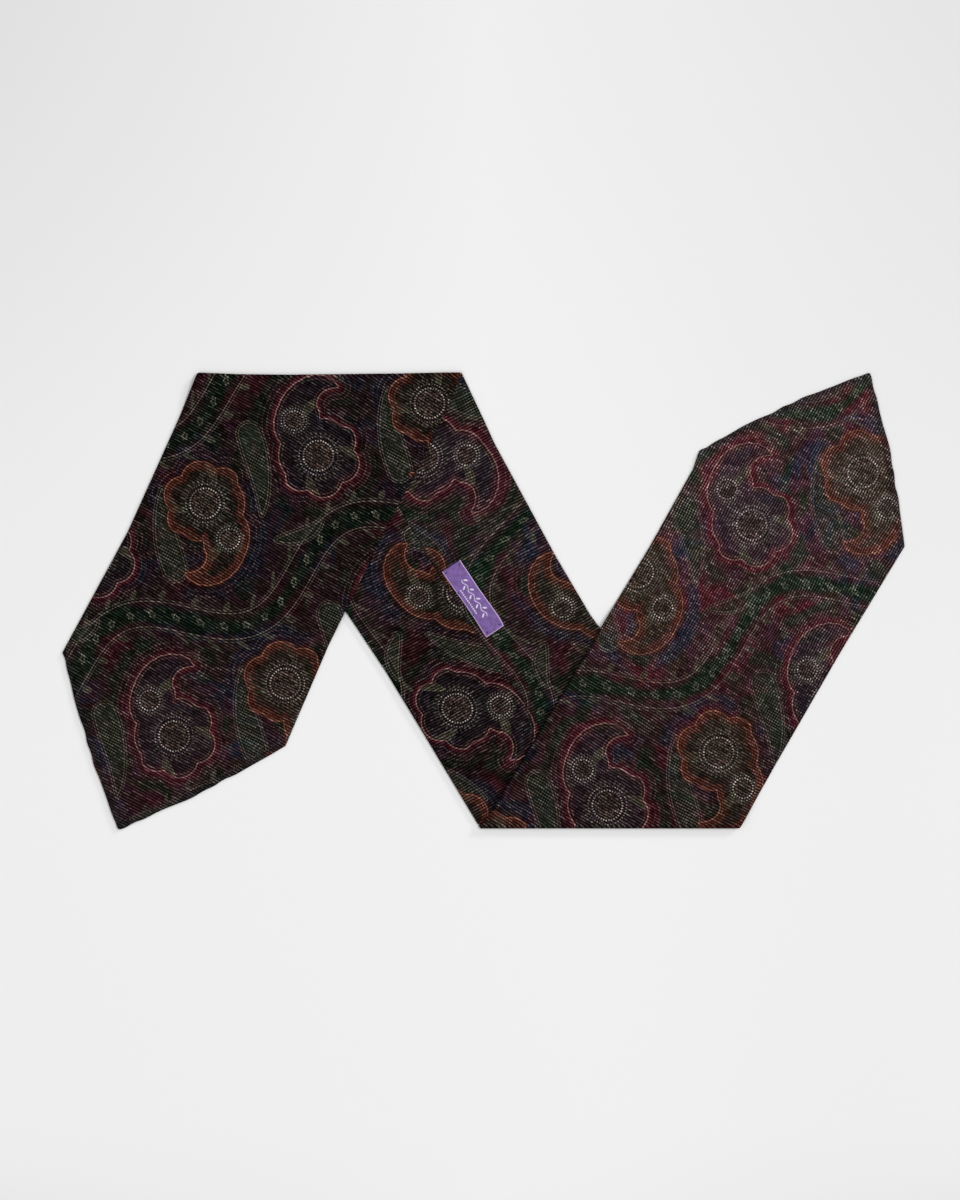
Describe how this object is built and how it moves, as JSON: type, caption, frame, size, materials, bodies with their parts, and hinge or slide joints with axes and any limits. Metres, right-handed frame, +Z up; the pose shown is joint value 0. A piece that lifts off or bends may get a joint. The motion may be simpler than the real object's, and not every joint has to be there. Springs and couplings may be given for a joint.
{
  "type": "silk scarf",
  "caption": "Dark paisley silk scarf, a flat bias-cut tube with pointed hemmed ends and a small label on its back seam, folded over and laid flat in a zigzag.",
  "frame": {"origin": "on the surface that the scarf lies on, under the middle of its box", "axes": "+Z up, out of the surface; +X along the level fold lines, from the wide blade to the narrow blade; +Y towards the upper fold"},
  "size_m": [0.5892, 0.3206, 0.0049],
  "materials": {
    "printed_silk": "satin twill, dark multicoloured paisley print",
    "hem_silk": "satin twill, rolled",
    "woven_tape": "matt woven tape"
  },
  "bodies": {
    "root": {"wide_blade": "printed_silk", "neck": "printed_silk", "narrow_blade": "printed_silk", "wide_hem": "hem_silk", "narrow_hem": "hem_silk", "label": "woven_tape"}
  },
  "joints": []
}
